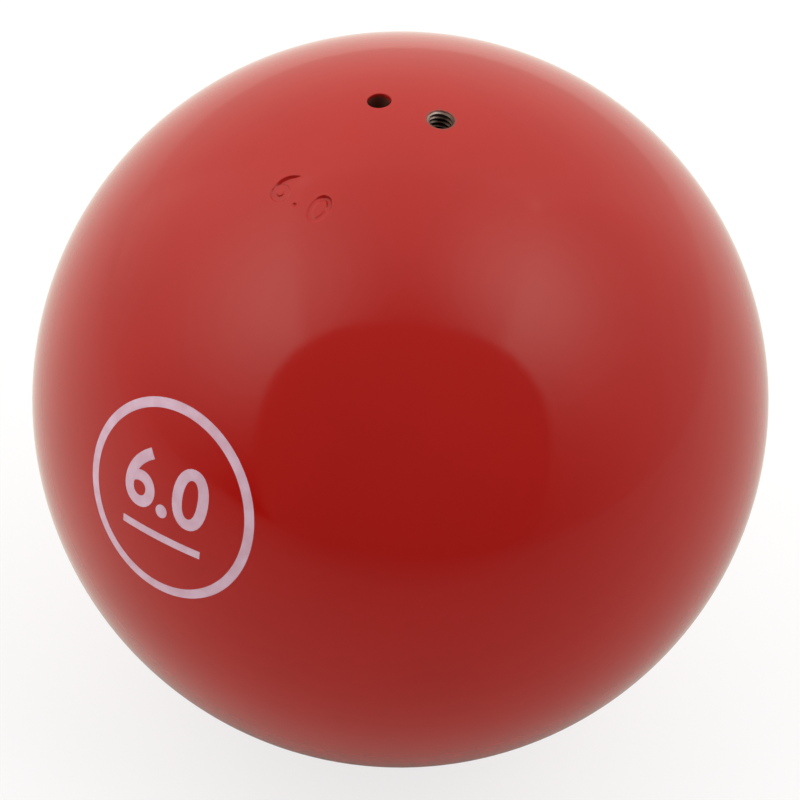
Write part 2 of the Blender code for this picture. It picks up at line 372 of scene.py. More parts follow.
def piece(name, points, faces, material, body, replaced=(), normals=None, crease=None):
    """A mesh piece that rides on a body and takes the place of the CAD nodes named."""
    mesh = bpy.data.meshes.new(name)
    mesh.from_pydata(np.asarray(points).tolist(), [], faces)
    if normals is None:
        work = bmesh.new()
        work.from_mesh(mesh)
        bmesh.ops.remove_doubles(work, verts=work.verts, dist=1e-7)
        bmesh.ops.recalc_face_normals(work, faces=work.faces)
        work.to_mesh(mesh)
        work.free()
    mesh.polygons.foreach_set("use_smooth", np.ones(len(mesh.polygons), bool))
    if crease is not None:
        mesh.set_sharp_from_angle(angle=math.radians(crease))
    if normals is not None:
        mesh.normals_split_custom_set_from_vertices(np.asarray(normals).tolist())
    mesh.materials.append(material)
    made = bpy.data.objects.new(name, mesh)
    bpy.context.scene.collection.objects.link(made)
    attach(made, body)
    if replaced:
        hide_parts(*replaced)
    return made


# Places of the marks on the ball


class Spot:
    """A flat drawing sheet laid on the ball: a centre, and which way is up on it."""

    def __init__(self, colatitude, azimuth, bearing):
        """Angles in degrees. The bearing is counted from the pole, positive towards the east."""
        out, round_z, up = (math.radians(v) for v in (colatitude, azimuth, bearing))
        self.centre = np.array(
            [
                math.sin(out) * math.cos(round_z),
                math.sin(out) * math.sin(round_z),
                math.cos(out),
            ]
        )
        north = unit(np.array([0, 0, 1]) - self.centre[2] * self.centre)
        east = np.cross(north, self.centre)
        self.up = north * math.cos(up) + east * math.sin(up)
        self.right = np.cross(self.up, self.centre)

    def flat(self, points):
        """Places on the sheet of points on the ball, far away for the ball's other side."""
        toward = points @ self.centre
        scale = BALL_RADIUS / np.maximum(toward, 0.2 * np.linalg.norm(points, axis=1))
        return np.stack([points @ self.right, points @ self.up], axis=1) * scale[:, None]

    def wrapped(self, places, radius):
        """Points on the ball of places on the sheet, with lengths kept outwards from its centre."""
        reach = np.linalg.norm(places, axis=1)
        arc = reach / BALL_RADIUS
        way = places / np.maximum(reach, 1e-12)[:, None]
        side = way[:, :1] * self.right + way[:, 1:] * self.up
        turned_out = self.centre * np.cos(arc)[:, None] + side * np.sin(arc)[:, None]
        return turned_out * radius


# The middle of each mark: degrees from the pole, round the ball, and of its own turn
SIX_SPOT = Spot(25.5, -146.84, -24.6)
NOUGHT_SPOT = Spot(23.63, -130.99, -13.8)
PRINT_SPOT = Spot(72.11, -124.95, -10.0)

# On their sheets: the 6's bowl as a middle and a radius, three places along its stem, half the
# width and height of the 0, and the place of the dot
SIX_BOWL = (0.0, -0.65 * MM, 0.98 * MM)
SIX_STEM = ((-1.38 * MM, -0.35 * MM), (-0.7 * MM, 1.5 * MM), (0.9 * MM, 2.95 * MM))
NOUGHT_HALF = (1.15 * MM, 1.9 * MM)
DOT_PLACE = (3.2 * MM, -1.35 * MM)


def arc_through(first, middle, last):
    """Centre and radius of the circle through three places."""
    a, b, c = (np.array(p) for p in (first, middle, last))
    system = 2 * np.array([b - a, c - a])
    centre = np.linalg.solve(system, [b @ b - a @ a, c @ c - a @ a])
    return centre, np.linalg.norm(a - centre)


def from_bowl(places):
    """Distance from the middle line of the struck 6's bowl."""
    x, y, radius = SIX_BOWL
    return np.abs(np.hypot(places[:, 0] - x, places[:, 1] - y) - radius)


def from_stem(places):
    """Distance from the struck 6's curved stem. It is counted up to 0.34 mm longer towards the
    stem's thin ends."""
    centre, radius = arc_through(*SIX_STEM)
    out = places - centre
    angle = np.arctan2(out[:, 1], out[:, 0]) % TURN
    ends = sorted(math.atan2(p[1] - centre[1], p[0] - centre[0]) % TURN for p in SIX_STEM[::2])
    along = (angle - ends[0]) / (ends[1] - ends[0])
    on_arc = (along > 0) & (along < 1)
    to_ends = [np.hypot(*(places - np.array(p)).T) for p in SIX_STEM[::2]]
    away = np.where(on_arc, np.abs(np.hypot(*out.T) - radius), np.minimum(*to_ends))
    return away + 0.34 * MM * (1 - np.sin(math.pi * np.clip(along, 0, 1)))


def from_nought(places):
    """Distance from the middle line of the struck 0, an upright oval."""
    half = np.array(NOUGHT_HALF)
    level = np.maximum(np.hypot(*(places / half).T), 1e-6)
    slope = np.maximum(np.hypot(*(places / half**2).T) / level, 1e-6)
    return np.abs(level - 1) / slope


def from_dot(places):
    """Distance from the middle of the struck dot."""
    return np.hypot(*(places - np.array(DOT_PLACE)).T)


# The stretch over which a punch's bite grows, counted from the middle of its stroke
BITE_RISE = (-0.52 * MM, 1.3 * MM)


class Stroke:
    """One stroke of a struck numeral: where it runs, and on which side the punch bit deepest."""

    def __init__(self, spot, distance, middle, lean, bites, width=1.0, flat=0.2):
        """The lean is the way towards the deep side. The two bites, deep and shallow, are shares
        of the deepest, the width is a share of the usual, and the flat one of the half width."""
        self.spot, self.distance, self.width, self.flat = spot, distance, width, flat
        self.middle, self.lean = np.array(middle), unit(np.array(lean))
        self.deep, self.shallow = bites

    def bite(self, places):
        """Share of the deepest bite at places on the sheet."""
        along = (places - self.middle) @ self.lean
        return self.shallow + (self.deep - self.shallow) * smoothstep(*BITE_RISE, along)


STROKES = (
    Stroke(SIX_SPOT, from_stem, (-1.5 * MM, -0.6 * MM), (0.3, 0.95), (1.0, 0.2)),
    Stroke(SIX_SPOT, from_bowl, SIX_BOWL[:2], (-0.1, -1.0), (0.6, 0.22), 1.2, 0.6),
    Stroke(SIX_SPOT, from_dot, DOT_PLACE, (0.75, 0.66), (0.7, 0.5), 0.8),
    Stroke(NOUGHT_SPOT, from_nought, (0.0, 0.7 * MM), (0.35, 0.94), (1.0, 0.18), 1.0, 0.35),
)


def stroke_depth(points, marks):
    """How deep the struck numerals lie below the ball at these points on it. None reaches 8 mm
    from the middle of its sheet."""
    groove, burr = np.zeros(len(points)), np.zeros(len(points))
    for stroke in STROKES:
        half = marks.groove / 2 * stroke.width
        places = stroke.spot.flat(points)
        near = np.hypot(*places.T) < 8 * MM
        away = stroke.distance(places[near])
        bite = stroke.bite(places[near])
        cut = marks.deepest * bite * (1 - smoothstep(stroke.flat * half, half, away))
        bulge = (away - half - marks.burr_width) / marks.burr_width
        groove[near] = np.maximum(groove[near], cut)
        burr[near] = np.maximum(burr[near], marks.burr * bite * np.exp(-(bulge**2)))
    return groove - burr * (1 - smoothstep(0, 2 * marks.burr, groove))


def lip_drop(reach, lip):
    """Drop of a surface that rolls over an edge, by the distance from that edge."""
    inside = lip - np.clip(reach, 0, lip)
    return lip - np.sqrt(np.maximum(lip**2 - inside**2, 0))


def paint_edges(film):
    """Place, radius and lip of the paint's two edges."""
    pin = (HOLE_X, HOLE_Y, film.pin_hole, film.pin_lip)
    return pin, (0.0, 0.0, film.mouth, film.mouth_lip)


def painted_surface(directions, film, marks):
    """Points of the painted surface in these directions from the ball's centre. Both holes lie
    near the pole."""
    points = directions * (BALL_RADIUS - stroke_depth(directions * BALL_RADIUS, marks))[:, None]
    top = directions[:, 2] > 0.8
    for x, y, radius, lip in paint_edges(film):
        reach = np.hypot(points[:, 0] - x, points[:, 1] - y) - radius
        points[:, 2] -= np.where(top, lip_drop(reach, lip), 0)
    return points


def slope_normals(directions, film, marks):
    """Normals of the painted surface, from its slope over a hundredth of a millimetre."""
    # Any two ways along the surface will do, and this one fails only on the plain back
    aside = unit(np.cross(directions, np.array([0.31, 0.92, 0.24])))
    ahead = np.cross(directions, aside)
    step = 1e-4
    spans = [
        painted_surface(unit(directions + step * way), film, marks)
        - painted_surface(unit(directions - step * way), film, marks)
        for way in (aside, ahead)
    ]
    normals = np.cross(*spans)
    return unit(normals * np.sign(np.sum(normals * directions, axis=1))[:, None])


def film_cells(film, marks):
    """A function that gives the edge length wanted at points on the ball."""

    def wanted(points):
        size = np.full(len(points), film.coarse_cell)
        for stroke in STROKES:
            away = stroke.distance(stroke.spot.flat(points)) - marks.groove / 2
            away = np.maximum(away - 2 * marks.burr_width, 0)
            size = np.minimum(size, film.stroke_cell + film.growth * away)
        for x, y, radius, lip in paint_edges(film):
            reach = np.hypot(points[:, 0] - x, points[:, 1] - y) - radius - lip / 2
            away = np.maximum(np.abs(reach) - lip / 2, 0)
            away = np.where(points[:, 2] > 0, away, BALL_RADIUS)
            size = np.minimum(size, film.lip_cell + film.growth * away)
        return size

    return wanted


def cut_hole(points, triangles, x, y, radius):
    """Takes out the triangles inside a hole along Z, and puts the edge left on its circle. The
    edge's points are given in their order round the hole."""
    centres = points[triangles].mean(axis=1)
    inside = (centres[:, 2] > 0) & (np.hypot(centres[:, 0] - x, centres[:, 1] - y) < radius)
    triangles = triangles[~inside]
    edge = open_edges(triangles)
    near = np.hypot(points[edge[:, 0], 0] - x, points[edge[:, 0], 1] - y) < 1.5 * radius
    following = dict(edge[near].tolist())
    loop = [min(following)]
    while len(loop) < len(following):
        loop.append(following[loop[-1]])
    way = points[loop, :2] - (x, y)
    way *= radius / np.linalg.norm(way, axis=1, keepdims=True)
    points[loop, :2] = way + (x, y)
    points[loop, 2] = np.sqrt(BALL_RADIUS**2 - np.sum(points[loop, :2] ** 2, axis=1))
    return triangles, np.array(loop[::-1])


def cup_under(points, normals, loop, film):
    """The painted wall of the pin hole, below a ring of points, and the floor that closes it."""
    centre, floor = (HOLE_X, HOLE_Y), PIN_HIGH.z + film.pin_floor
    rim, fillet, all_round = points[loop], film.fillet, np.ones(len(loop))
    out = unit(rim[:, :2] - centre)
    rings, slopes = [], []
    for t in np.linspace(0, 1, 14)[1:]:
        height = rim[:, 2] + (floor + fillet - rim[:, 2]) * t
        rings.append(np.column_stack([rim[:, :2], height]))
        slopes.append(np.column_stack([-out, 0 * all_round]))
    for turn in np.radians([30, 60, 90]):
        inner = centre + out * (film.pin_hole - fillet * (1 - math.cos(turn)))
        height = floor + fillet * (1 - math.sin(turn))
        rings.append(np.column_stack([inner, height * all_round]))
        slopes.append(np.column_stack([-out * math.cos(turn), math.sin(turn) * all_round]))
    rings.append(np.column_stack([centre + out * film.pin_hole * 0.4, floor * all_round]))
    slopes.append(np.tile([0.0, 0.0, 1.0], (len(rim), 1)))
    first = len(points)
    rows = np.vstack([loop, first + np.arange(len(rings) * len(loop)).reshape(len(rings), -1)])
    upper, lower = rows[:-1], rows[1:]
    left_up, left_down = np.roll(upper, -1, axis=1), np.roll(lower, -1, axis=1)
    walls = [(upper, left_up, lower), (left_up, left_down, lower)]
    walls = [np.column_stack([corner.ravel() for corner in wall]) for wall in walls]
    tip = first + len(rings) * len(loop)
    fan = np.column_stack([lower[-1], left_down[-1], np.full(len(loop), tip)])
    points = np.vstack([points, *rings, [[*centre, floor]]])
    normals = np.vstack([normals, *slopes, [[0.0, 0.0, 1.0]]])
    return points, normals, np.vstack([*walls, fan])


def start_ball():
    """Points and triangles of an even ball to refine."""
    work = bmesh.new()
    bmesh.ops.create_icosphere(work, subdivisions=5, radius=BALL_RADIUS)
    points = np.array([v.co for v in work.verts])
    triangles = np.array([[v.index for v in f.verts] for f in work.faces])
    work.free()
    return points, triangles


def build_film(film, marks, material):
    """The paint film: one closed skin over ball and plug, open only at the tapped hole."""

    def on_ball(points):
        return unit(points) * BALL_RADIUS

    points, triangles = start_ball()
    points, triangles = refine(on_ball(points), triangles, film_cells(film, marks), on_ball)
    triangles, pin_loop = cut_hole(points, triangles, HOLE_X, HOLE_Y, film.pin_hole)
    triangles, _ = cut_hole(points, triangles, 0.0, 0.0, film.mouth)
    directions = unit(points)
    outside = painted_surface(directions, film, marks)
    normals = slope_normals(directions, film, marks)
    outside, normals, cup = cup_under(outside, normals, pin_loop, film)
    inside = outside - normals * film.thickness
    points, faces = closed_skin(outside, inside, np.vstack([triangles, cup]))
    used, where = np.unique(faces, return_inverse=True)
    faces = where.reshape(-1, 3).tolist()
    normals = np.vstack([normals, -normals])[used]
    return piece(
        "enamel_film", points[used], faces, material, "ball", normals=normals
    )


# Metal under the paint


def from_pin(angles):
    """Angles counted from the lock pin, up to half a turn to each side."""
    return (angles - PIN_AZIMUTH + math.pi) % TURN - math.pi


def pin_groove(angles, side, radius):
    """Radius of the drilled hole seen from the ball's axis, on the casting's or plug's side."""
    turn = from_pin(angles)
    reach = radius**2 - (HOLE_REACH * np.sin(turn)) ** 2
    on = (reach > 0) & (np.abs(turn) < 0.5)
    return on, HOLE_REACH * np.cos(turn) + side * np.sqrt(np.maximum(reach, 0))


def seam_angles():
    """Angles round the seam: 96 even ones, closer together within 12 degrees of the lock pin."""
    even = np.linspace(0, TURN, 96, endpoint=False)
    close = PIN_AZIMUTH + np.radians(np.linspace(-11.5, 11.5, 35))
    apart = np.abs(from_pin(even)) > math.radians(12.5)
    return np.sort(np.concatenate([even[apart], close % TURN]))


def seam_radius(angles, height, threads, side, top, drill):
    """Radius of the seam's thread and pin groove, on the casting (+1) or on the plug (-1). The
    thread fades out under the top, where the seam was turned flush."""
    play = side * threads.plug_play
    crest, root = SEAM_RADIUS - threads.plug_depth, SEAM_RADIUS
    radius = helix(angles, height, threads.plug_pitch, crest, root) + play
    fade = smoothstep(top - 0.6 * MM, top, height)
    radius = radius * (1 - fade) + (SEAM_RADIUS + play) * fade
    if height < PIN_LOW.z - SEAT_GAP:
        return radius
    on, groove = pin_groove(angles, side, drill)
    further = np.maximum if side > 0 else np.minimum
    return np.where(on, further(radius, groove), radius)


def metal_radius(film):
    """Radius of the metal ball under the paint."""
    return BALL_RADIUS - film.thickness - PAINT_GAP


def on_sphere(radius, sphere):
    """Height on a sphere's upper half, at a distance from the axis."""
    return np.sqrt(np.maximum(sphere**2 - radius**2, 0))


def seam_wall(angles, film, threads, side, low):
    """Radius of the rim where the seam meets the metal's outer skin, and the stations of the
    seam's wall from there down to a height, on the casting (+1) or on the plug (-1)."""
    outer = metal_radius(film)
    top = on_sphere(SEAM_RADIUS, outer)
    rows = int((top - low) / threads.plug_pitch * threads.seam_rows)
    stations = []
    for height in np.linspace(top - 0.05 * MM, low, rows):
        radius = seam_radius(angles, height, threads, side, top, film.pin_drill)
        stations.append((radius, np.minimum(height, on_sphere(radius, outer))))
    return seam_radius(angles, top, threads, side, top, film.pin_drill), stations


def build_casting(film, threads, material):
    """The cast iron ball with its threaded neck, half the pin hole and the cavity for the lead."""
    angles = seam_angles()
    outer = metal_radius(film)
    tap_end = PLUG_LOW.z + threads.tap_room
    rim, wall = seam_wall(angles, film, threads, 1, tap_end)
    stations = [(TIP, -outer)]
    # The ball's skin from below up to 22 degrees from the pole, and finer rows from there
    for colatitude in np.radians(np.linspace(178, 22, 79)):
        stations.append((outer * math.sin(colatitude), outer * math.cos(colatitude)))
    start = stations[-1][0]
    for t in np.linspace(0.1, 1, 12):
        radius = start + (rim - start) * t
        stations.append((radius, on_sphere(radius, outer)))
    shoulder = WASHER_LOW.z - SEAT_GAP
    bore = SEAM_RADIUS + threads.plug_play
    neck = SEAM_RADIUS - threads.shoulder
    stations += [*wall, (bore, tap_end - 0.3 * MM), (bore, shoulder), (neck, shoulder)]
    cavity = abs(LEAD_LOW.z) + SEAT_GAP
    start = math.asin(neck / cavity)
    for colatitude in np.linspace(start, math.pi - 0.01, 40):
        stations.append((cavity * math.sin(colatitude), cavity * math.cos(colatitude)))
    points, faces = turned_skin(stations, angles, (0, len(stations) - 1))
    points = stroke_room(points, outer)
    return piece(
        "iron_casting", points, faces, material, "ball", ("shell_casting",), crease=35
    )


def stroke_room(points, outer):
    """The casting's points, with the skin under the struck numerals set back out of their way: by
    half a millimetre to 5 mm from each numeral's middle, and by nothing from 9 mm on."""
    reach = np.linalg.norm(points, axis=1)
    on_skin = np.abs(reach - outer) < 0.01 * MM
    wanted = reach.copy()
    for spot in (SIX_SPOT, NOUGHT_SPOT):
        away = np.hypot(*spot.flat(points).T)
        back = 0.5 * MM * (1 - smoothstep(5 * MM, 9 * MM, away))
        here = on_skin & (points @ spot.centre > 0) & (back > 0)
        wanted[here] = np.minimum(wanted, outer - back)[here]
    return points * (wanted / reach)[:, None]


def build_plug(film, threads, material):
    """The screwed plug: its own thread outside, and the tapped hole right through it."""
    angles = seam_angles()
    outer = metal_radius(film)
    relief = SEAM_RADIUS - threads.relief_depth
    relief_top = PLUG_LOW.z + threads.relief
    rim, wall = seam_wall(angles, film, threads, -1, relief_top + threads.relief_bevel)
    lip = film.mouth - PAINT_GAP
    mouth = on_sphere(lip, outer)
    stations = []
    for t in np.linspace(0, 1, 17):
        radius = lip + (rim - lip) * t
        stations.append((radius, on_sphere(radius, outer)))
    stations += [
        *wall,
        (relief, relief_top),
        (relief, PLUG_LOW.z + threads.relief_bevel),
        (relief - threads.relief_bevel, PLUG_LOW.z),
        (threads.tap_drill + 0.2 * MM, PLUG_LOW.z),
        (threads.tap_drill, PLUG_LOW.z + 0.2 * MM),
        (threads.tap_drill, (PLUG_LOW.z + threads.thread_end) / 2),
        (threads.tap_drill, threads.thread_end),
    ]

    def tapped(angle, height):
        # The tap's taper below, and above the outer surface's edge and the chamfer's cone
        thread = helix(angle, height, THREAD_PITCH, threads.tapped_minor, threads.tapped_major)
        run_in = threads.tap_drill + 0.8 * (height - threads.thread_end)
        run_out = lip + mouth - height
        cone = lip - (lip - threads.tapped_minor) / threads.chamfer * (mouth - height)
        return np.maximum(np.minimum(np.minimum(thread, run_in), run_out), cone)

    wall = threaded_wall(angles, THREAD_PITCH, threads.thread_end, mouth, threads.rows, tapped)
    points, faces = joined(turned_skin(stations, angles), wall)
    return piece(
        "screwed_plug", points, faces, material, "ball", ("closing_plug",), crease=35
    )


def build_screw(threads, material):
    """The set screw: thread, hexagon socket, and the button that the slug swivels on."""
    angles = np.linspace(0, TURN, threads.columns, endpoint=False)
    stem, button = threads.stem, threads.button
    top, low = SCREW_HIGH.z, SCREW_LOW.z
    stem_low = low + threads.button_height
    body_low = top - threads.screw_length
    major = threads.tapped_major - threads.screw_play
    minor = threads.tapped_minor - threads.screw_play
    bevel = minor - 0.1 * MM
    turn = (angles + TURN / 12) % (TURN / 6) - TURN / 12
    socket = threads.socket_flats / 2 / np.cos(turn)
    floor = top - threads.socket_depth
    lead = 0.15 * MM
    # From the bottom of the socket up to the top face, then from the lower face down the stem
    upper = [
        (TIP, floor - 0.35 * MM),
        (0.6 * threads.socket_flats / 2, floor - 0.15 * MM),
        (socket, floor),
        (socket, floor + 0.3 * MM),
        (socket, top - 1.2 * MM),
        (socket, top - lead),
        (socket + lead, top),
        (bevel, top),
    ]
    lower = [
        (bevel, body_low),
        (stem + 0.1 * MM, body_low),
        (stem, body_low - 0.1 * MM),
        (stem, stem_low + 0.02 * MM),
        (button - 0.05 * MM, stem_low),
        (button, stem_low - 0.05 * MM),
        (button, low + 0.12 * MM),
        (button - 0.12 * MM, low),
        (TIP, low),
    ]

    def thread(angle, height):
        radius = helix(angle, height, THREAD_PITCH, minor, major)
        return np.minimum(radius, bevel + 1.2 * np.minimum(top - height, height - body_low))

    wall = threaded_wall(angles, THREAD_PITCH, body_low, top, threads.rows, thread)
    ends = turned_skin(upper, angles, (0,)), turned_skin(lower, angles, (len(lower) - 1,))
    points, faces = joined(wall, *ends)
    return piece(
        "set_screw", points, faces, material, "screw", ("trim_screw",), crease=30
    )


# Printed mark


def build_ring(marks, material):
    """The printed ring, a thin closed band of ink that follows the ball."""
    columns = 256
    angles = np.linspace(0, TURN, columns, endpoint=False)
    across = np.linspace(marks.ring_inner, marks.ring_outer, 5)
    low, high = BALL_RADIUS - marks.ink, BALL_RADIUS + marks.ink
    outline = [(r, high) for r in across] + [(r, low) for r in across[::-1]]
    ring = np.stack([np.cos(angles), np.sin(angles)], axis=1)
    points = np.vstack([PRINT_SPOT.wrapped(ring * r, radius) for r, radius in outline])
    faces = grid_faces(len(outline), columns, wrap_rows=True)
    return piece("printed_ring", points, faces, material, "ball", crease=40)


def ink_from(flat_points, flat_triangles, name, marks, material):
    """A flat outline laid on the ball as a thin closed layer of ink, in cells small enough to
    follow the ball."""

    def small(points):
        return np.full(len(points), 1.2 * MM)

    flat_points, flat_triangles = refine(flat_points, flat_triangles, small, lambda p: p)
    heights = BALL_RADIUS + marks.ink, BALL_RADIUS - marks.ink
    sheets = [PRINT_SPOT.wrapped(flat_points[:, :2], height) for height in heights]
    points, faces = closed_skin(*sheets, flat_triangles)
    return piece(name, points, faces.tolist(), material, "ball", crease=40)


def figure_outline(text, height):
    """Points and triangles of plain numerals, centred and of this height."""
    words = bpy.data.curves.new("figures", "FONT")
    words.body = text
    words.align_x = "CENTER"
    # A fiftieth of the height bolder all round, and smooth enough for a close look
    words.offset = 0.02
    words.resolution_u = 8
    holder = bpy.data.objects.new("figures", words)
    bpy.context.scene.collection.objects.link(holder)
    bpy.context.view_layer.update()
    mesh = holder.to_mesh()
    work = bmesh.new()
    work.from_mesh(mesh)
    bmesh.ops.remove_doubles(work, verts=work.verts, dist=1e-5)
    bmesh.ops.triangulate(work, faces=work.faces)
    points = np.array([v.co for v in work.verts])
    triangles = np.array([[v.index for v in f.verts] for f in work.faces])
    work.free()
    holder.to_mesh_clear()
    bpy.data.objects.remove(holder)
    bpy.data.curves.remove(words)
    low, high = points.min(axis=0), points.max(axis=0)
    scale = height / (high[1] - low[1])
    points = (points - [(low[0] + high[0]) / 2, low[1], 0]) * scale
    a, b, c = (points[triangles[:, i], :2] for i in range(3))
    turn = (b - a)[:, 0] * (c - a)[:, 1] - (b - a)[:, 1] * (c - a)[:, 0]
    triangles = np.where((turn < 0)[:, None], triangles[:, ::-1], triangles)
    return points, triangles


# Finishes

# The Mix node repeats its sockets' names for each data type, so those used here go by number
NUMBER_A, NUMBER_B, NUMBER_OUT = 2, 3, 0
COLOUR_A, COLOUR_B, COLOUR_OUT = 6, 7, 2


def node(tree, kind, inputs=(), out=0, **traits):
    """Adds a node with these settings, fills its inputs, by name or in their order, with values or
    with other nodes' outputs, and gives back one of its own outputs."""
    made = tree.nodes.new("ShaderNode" + kind)
    for name, value in traits.items():
        setattr(made, name, value)
    for key, value in inputs.items() if isinstance(inputs, dict) else enumerate(inputs):
        if isinstance(value, bpy.types.NodeSocket):
            tree.links.new(value, made.inputs[key])
        else:
            made.inputs[key].default_value = value
    return made.outputs[out] if made.outputs else None


def emptied(owner):
    """The node function, tied to the emptied tree of a material or world."""
    owner.use_nodes = True
    owner.node_tree.nodes.clear()
    return partial(node, owner.node_tree)


def rgba(colour_value):
    """A colour with full opacity."""
    return (*colour_value, 1.0)


def stoved_enamel(finish):
    """Red stoving enamel, sprayed over turned iron: wet gloss, faint orange peel, a browner ring
    round the tapped mouth, and painted shade with dirt, darker brown deeper down in the pin hole."""
    material = bpy.data.materials.new("stoved_red_enamel")
    add = emptied(material)
    place = add("TexCoord", out="Object")
    # Clouds as wide as a spray gun's passes
    cloud = add("TexNoise", {"Vector": place, "Scale": 1 / (18 * MM), "Detail": 3.0})
    deep, full = rgba(finish.enamel_deep), rgba(finish.enamel)
    coat = add(
        "Mix", {"Factor": cloud, COLOUR_A: deep, COLOUR_B: full}, COLOUR_OUT, data_type="RGBA"
    )
    # Edges of the mouth ring and of the pin hole's painted shade and dirt wander by half a millimetre
    # or so
    ragged = add("TexNoise", {"Vector": place, "Scale": 1 / (0.8 * MM), "Detail": 2.0})
    flat = add("VectorMath", (place, (1, 1, 0)), operation="MULTIPLY")
    from_axis = add("VectorMath", (flat,), "Value", operation="LENGTH")
    edge = add("Math", (ragged, -0.5 * MM, from_axis), operation="MULTIPLY_ADD")
    # A browner ring round the tapped mouth, on the upper half
    thin = add(
        "MapRange", (edge, 1.75 * MM, 2.2 * MM, 0.85, 0.0), interpolation_type="SMOOTHSTEP"
    )
    upper = add("Math", (add("SeparateXYZ", (place,), "Z"), 0.0), operation="GREATER_THAN")
    # Painted shade with dirt: the paint turns darker brown the deeper it lies in the pin hole
    from_centre = add("VectorMath", (place,), "Value", operation="LENGTH")
    depth = add("Math", (ragged, -0.8 * MM, from_centre), operation="MULTIPLY_ADD")
    shade_dirt_start, shade_dirt_full = BALL_RADIUS - 0.6 * MM, BALL_RADIUS - 1.3 * MM
    depth_shade = add("MapRange", (depth, shade_dirt_start, shade_dirt_full, 0.0, 0.95), interpolation_type="SMOOTHSTEP")
    from_hole = add("VectorMath", (flat, (HOLE_X, HOLE_Y, 0)), "Value", operation="DISTANCE")
    in_hole = add("Math", (from_hole, 2 * MM), operation="LESS_THAN")
    for amount, where, tint in (
        (thin, upper, finish.enamel_mouth_ring),
        (depth_shade, in_hole, finish.hole_shade_and_dirt),
    ):
        here = add("Math", (amount, where), operation="MULTIPLY")
        layers = {"Factor": here, COLOUR_A: coat, COLOUR_B: rgba(tint)}
        coat = add("Mix", layers, COLOUR_OUT, data_type="RGBA")
    # Slightly duller where hands and cloths have rubbed it
    rub = add("TexNoise", {"Vector": place, "Scale": 1 / (7 * MM), "Detail": 4.0})
    gloss = add("MapRange", (rub, 0.3, 0.7, finish.gloss * 0.9, finish.gloss * 1.15))
    # Orange peel of sprayed paint, two to three millimetres from hump to hump
    peel = add("TexNoise", {"Vector": place, "Scale": 1 / (2.4 * MM), "Detail": 1.0})
    bump = add("Bump", {"Height": peel, "Strength": finish.peel, "Distance": 0.2 * MM})
    looks = {"Base Color": coat, "Roughness": gloss, "Normal": bump, "IOR": 1.5}
    add("OutputMaterial", (add("BsdfPrincipled", looks),))
    return material


def machined_steel(finish):
    """Free-cutting steel, turned and tapped and never painted: bright tool marks, with painted shade
    and a stain of cutting oil, brown and darker further down and towards +X."""
    material = bpy.data.materials.new("tapped_free_cutting_steel")
    add = emptied(material)
    place = add("TexCoord", out="Object")
    blotch = add("TexNoise", {"Vector": place, "Scale": 1 / (0.9 * MM), "Detail": 4.0})
    # Painted shade with an oil stain: darker further down and towards +X, so that its upper edge lies
    # aslant
    height = add("VectorMath", (place, (-0.8, 0, 1)), "Value", operation="DOT_PRODUCT")
    low, high = BALL_RADIUS - 1.6 * MM, BALL_RADIUS - 0.1 * MM
    deep = add("MapRange", (height, low, high, 1.0, 0.05))
    # Painted shade and stain: how far the steel turns brown
    oil_and_shade = add("Math", (blotch, 0.5, deep), operation="MULTIPLY_ADD")
    oil_and_shade = add("Math", (oil_and_shade, 0.3), operation="SUBTRACT", use_clamp=True)
    layers = {"Factor": oil_and_shade, COLOUR_A: rgba(finish.steel), COLOUR_B: rgba(finish.steel_shade_and_stain)}
    metal = add("Mix", layers, COLOUR_OUT, data_type="RGBA")
    # Tool marks. A wave runs 20 radians a unit, so one takes 0.75 mm here: the real ones lie about
    # 0.1 mm apart, and are drawn coarser to show
    marks = {"Vector": place, "Scale": 1 / (20 * 0.12 * MM), "Distortion": 0.4, "Detail": 2.0}
    rings = add("TexWave", marks, "Fac", bands_direction="Z")
    rough = add("MapRange", (blotch, 0.0, 1.0, 0.28, 0.5))
    bump = add("Bump", {"Height": rings, "Strength": 0.15, "Distance": 0.02 * MM})
    looks = {"Base Color": metal, "Roughness": rough, "Normal": bump, "Metallic": 1.0}
    add("OutputMaterial", (add("BsdfPrincipled", looks),))
    return material


def mottled(name, light, dark, grain, roughness, dent, flecks=None, **uniform):
    """A material whose colour and surface vary in grains of a real size. Flecks are a colour and
    the size of the cells it fills here and there. What is the same all over goes to the shader."""
    material = bpy.data.materials.new(name)
    add = emptied(material)
    place = add("TexCoord", out="Object")
    grains = add("TexNoise", {"Vector": place, "Scale": 1 / grain, "Detail": 5.0})
    layers = [(add("MapRange", (grains, 0.35, 0.65)), light)]
    if flecks:
        tint, size = flecks
        cells = add("TexVoronoi", {"Vector": place, "Scale": 1 / size}, "Color")
        layers.append((add("MapRange", (cells, 0.72, 0.8)), tint))
    body = rgba(dark)
    for amount, tint in layers:
        layer = {"Factor": amount, COLOUR_A: body, COLOUR_B: rgba(tint)}
        body = add("Mix", layer, COLOUR_OUT, data_type="RGBA")
    rough = add("MapRange", (grains, 0.3, 0.7, roughness * 0.85, min(roughness * 1.15, 1.0)))
    bump = add("Bump", {"Height": grains, "Strength": 0.5, "Distance": dent})
    looks = {"Base Color": body, "Roughness": rough, "Normal": bump, **uniform}
    add("OutputMaterial", (add("BsdfPrincipled", looks),))
    return material


def cast_iron(finish):
    """Grey iron, sand-cast and rough-turned: dull, with a sandy grain of about half a millimetre."""
    pits = linear("#45423F")
    return mottled(
        "sand_cast_grey_iron", finish.iron, pits, 0.6 * MM, 0.55, 0.08 * MM, Metallic=1.0
    )


def cast_lead(finish):
    """Lead poured and left to oxidise: soft grey with a pale bloom in patches of 2 mm."""
    return mottled(
        "oxidised_cast_lead", finish.lead_bloom, finish.lead, 1.8 * MM, 0.5, 0.05 * MM, Metallic=1.0
    )


def blackened_steel(finish):
    """Alloy steel with a chemical black: near black, oily sheen, mottled with darker grains. The
    real grain is finer, and is drawn at a quarter of a millimetre to show."""
    worn = linear("#26262A")
    return mottled(
        "black_oxide_alloy_steel", finish.black, worn, 0.25 * MM, 0.38, 0.01 * MM, Metallic=1.0
    )


